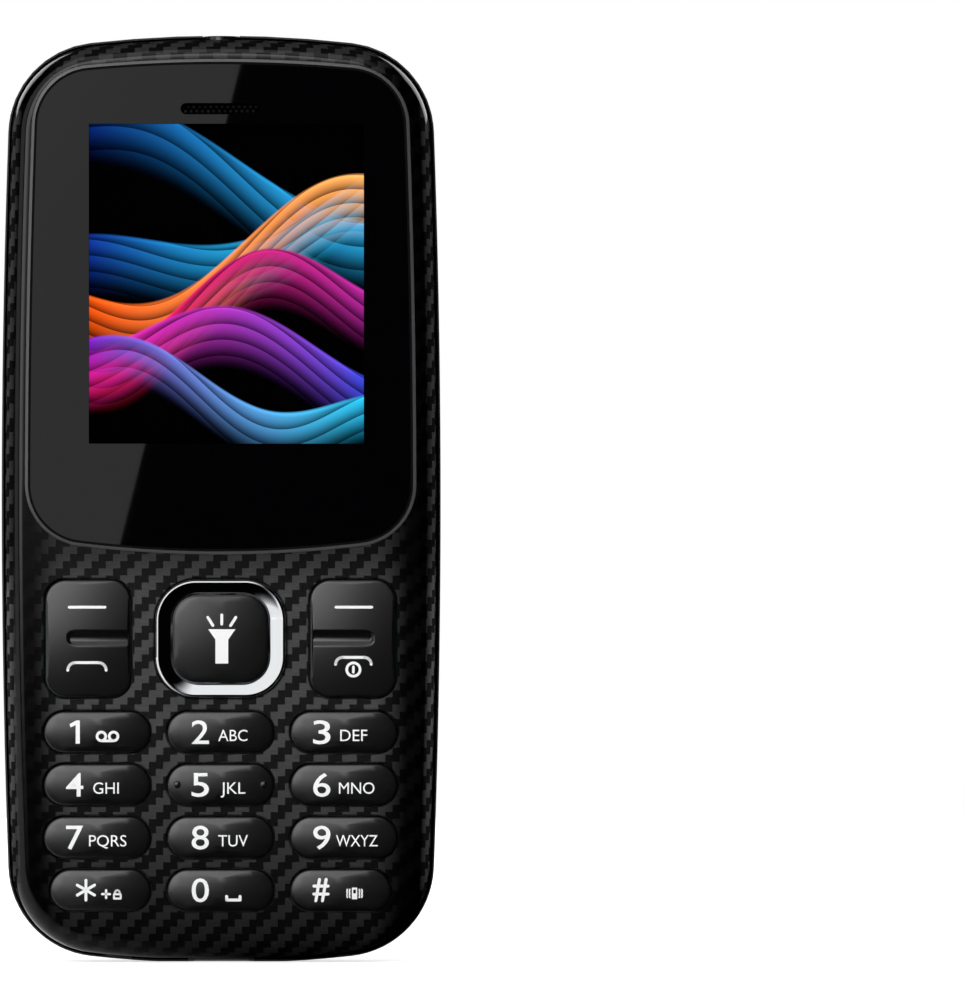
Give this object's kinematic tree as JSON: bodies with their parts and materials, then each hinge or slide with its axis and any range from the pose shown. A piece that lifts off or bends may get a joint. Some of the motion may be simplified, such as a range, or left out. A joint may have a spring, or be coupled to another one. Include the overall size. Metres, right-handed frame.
{
  "type": "feature phone",
  "caption": "Bar-style feature phone with a glossy display window, number keys, navigation ring, carbon-weave shell, lift-off back cover and removable battery.",
  "frame": {"origin": "middle of the bottom end, at the lowest point", "axes": "+Z along the phone's length towards the earpiece, -Y out of the screen, +X to the right of someone who reads the screen"},
  "size_m": [0.0528, 0.014, 0.1113],
  "materials": {
    "carbon_print": "satin lacquer over a printed carbon weave",
    "black_gloss": "polished black",
    "window_acrylic": "clear acrylic with a black printed border",
    "adhesive": "double-sided film",
    "steel": "pressed tinned steel",
    "black_moulding": "fine moulded texture",
    "display_glass": "liquid crystal sandwich",
    "white_moulding": "white moulding",
    "flex_film": "polyimide film",
    "silicone": "matt silicone",
    "key_gloss": "polished black with white legends",
    "bright_ring": "bright plated",
    "board_laminate": "solder mask over glass laminate",
    "gold_plate": "gold plated",
    "weight_metal": "sintered heavy metal",
    "clear_lens": "clear polycarbonate",
    "battery_case": "cell in a printed film wrap",
    "foam": "open-cell foam",
    "turned_metal": "turned rings, dark anodised",
    "camera_glass": "black-backed glass",
    "plate_metal": "satin grey"
  },
  "bodies": {
    "phone": {"front_housing": "carbon_print", "display_window": "window_acrylic", "window_adhesive": "adhesive", "earpiece_mesh": "steel", "earpiece_receiver": "black_moulding", "lcd_panel": "display_glass", "lcd_backlight": "white_moulding", "lcd_flex": "flex_film", "key_mat": "silicone", "dome_sheet": "steel", "main_board": "board_laminate", "baseband_shield": "steel", "radio_shield": "steel", "sim_sockets": "steel", "memory_card_socket": "steel", "micro_usb_socket": "steel", "audio_jack": "black_moulding", "microphone": "gold_plate", "vibration_motor": "steel", "torch_led": "white_moulding", "torch_lens": "clear_lens", "battery_connector": "black_moulding", "battery_contacts": "gold_plate", "loudspeaker": "black_moulding", "speaker_gasket": "foam", "camera_module": "black_moulding", "camera_flex": "flex_film", "camera_bezel": "turned_metal", "camera_window": "camera_glass", "antenna": "gold_plate", "rear_housing": "black_gloss", "housing_screws": "steel"},
    "key_1": {"key_1": "key_gloss"},
    "key_2": {"key_2": "key_gloss"},
    "key_3": {"key_3": "key_gloss"},
    "key_4": {"key_4": "key_gloss"},
    "key_5": {"key_5": "key_gloss"},
    "key_6": {"key_6": "key_gloss"},
    "key_7": {"key_7": "key_gloss"},
    "key_8": {"key_8": "key_gloss"},
    "key_9": {"key_9": "key_gloss"},
    "key_star": {"key_star": "key_gloss"},
    "key_0": {"key_0": "key_gloss"},
    "key_hash": {"key_hash": "key_gloss"},
    "left_rocker_key": {"left_rocker_key": "key_gloss"},
    "right_rocker_key": {"right_rocker_key": "key_gloss"},
    "nav_frame": {"nav_frame": "black_moulding"},
    "nav_ring": {"nav_ring": "bright_ring"},
    "centre_key": {"centre_key": "key_gloss"},
    "battery_cover": {"battery_cover": "carbon_print", "speaker_mesh": "steel", "name_plate": "plate_metal"},
    "battery_pack": {"battery_pack": "battery_case"},
    "vibration_weight": {"vibration_weight": "weight_metal"}
  },
  "joints": [
    {"name": "key_1_press", "type": "slide", "parent": "phone", "child": "key_1", "axis": [0, 1, 0], "range_m": [0, 0.00035], "stiffness_N_per_m": 2000},
    {"name": "key_2_press", "type": "slide", "parent": "phone", "child": "key_2", "axis": [0, 1, 0], "range_m": [0, 0.00035], "stiffness_N_per_m": 2000},
    {"name": "key_3_press", "type": "slide", "parent": "phone", "child": "key_3", "axis": [0, 1, 0], "range_m": [0, 0.00035], "stiffness_N_per_m": 2000},
    {"name": "key_4_press", "type": "slide", "parent": "phone", "child": "key_4", "axis": [0, 1, 0], "range_m": [0, 0.00035], "stiffness_N_per_m": 2000},
    {"name": "key_5_press", "type": "slide", "parent": "phone", "child": "key_5", "axis": [0, 1, 0], "range_m": [0, 0.00035], "stiffness_N_per_m": 2000},
    {"name": "key_6_press", "type": "slide", "parent": "phone", "child": "key_6", "axis": [0, 1, 0], "range_m": [0, 0.00035], "stiffness_N_per_m": 2000},
    {"name": "key_7_press", "type": "slide", "parent": "phone", "child": "key_7", "axis": [0, 1, 0], "range_m": [0, 0.00035], "stiffness_N_per_m": 2000},
    {"name": "key_8_press", "type": "slide", "parent": "phone", "child": "key_8", "axis": [0, 1, 0], "range_m": [0, 0.00035], "stiffness_N_per_m": 2000},
    {"name": "key_9_press", "type": "slide", "parent": "phone", "child": "key_9", "axis": [0, 1, 0], "range_m": [0, 0.00035], "stiffness_N_per_m": 2000},
    {"name": "key_star_press", "type": "slide", "parent": "phone", "child": "key_star", "axis": [0, 1, 0], "range_m": [0, 0.00035], "stiffness_N_per_m": 2000},
    {"name": "key_0_press", "type": "slide", "parent": "phone", "child": "key_0", "axis": [0, 1, 0], "range_m": [0, 0.00035], "stiffness_N_per_m": 2000},
    {"name": "key_hash_press", "type": "slide", "parent": "phone", "child": "key_hash", "axis": [0, 1, 0], "range_m": [0, 0.00035], "stiffness_N_per_m": 2000},
    {"name": "centre_key_press", "type": "slide", "parent": "phone", "child": "centre_key", "axis": [0, 1, 0], "range_m": [0, 0.00035], "stiffness_N_per_m": 2000},
    {"name": "left_rocker_tilt", "type": "hinge", "parent": "phone", "child": "left_rocker_key", "pos_m": [-0.01588, -0.005, 0.03886], "axis": [1, 0, 0], "range_deg": [-2.2, 2.2], "stiffness_Nm_per_rad": 0.1},
    {"name": "right_rocker_tilt", "type": "hinge", "parent": "phone", "child": "right_rocker_key", "pos_m": [0.01588, -0.005, 0.03886], "axis": [1, 0, 0], "range_deg": [-2.2, 2.2], "stiffness_Nm_per_rad": 0.1},
    {"name": "nav_side_tilt", "type": "hinge", "parent": "phone", "child": "nav_frame", "pos_m": [0, -0.0042, 0.03886], "axis": [0, 0, 1], "range_deg": [-1.8, 1.8], "stiffness_Nm_per_rad": 0.2},
    {"name": "nav_up_tilt", "type": "hinge", "parent": "nav_frame", "child": "nav_ring", "pos_m": [0, -0.0047, 0.03886], "axis": [1, 0, 0], "range_deg": [-1.8, 1.8], "stiffness_Nm_per_rad": 0.2},
    {"name": "cover_lift", "type": "slide", "parent": "phone", "child": "battery_cover", "axis": [0, 1, 0], "range_m": [0, 0.03]},
    {"name": "battery_lift", "type": "slide", "parent": "phone", "child": "battery_pack", "axis": [0, 1, 0], "range_m": [0, 0.012]},
    {"name": "weight_spin", "type": "hinge", "parent": "phone", "child": "vibration_weight", "pos_m": [-0.0057, 0, 0.10196], "axis": [1, 0, 0], "continuous": true}
  ],
  "couplings": [
    {"joint": "battery_lift", "follows": "cover_lift", "ratio": 0.4}
  ]
}
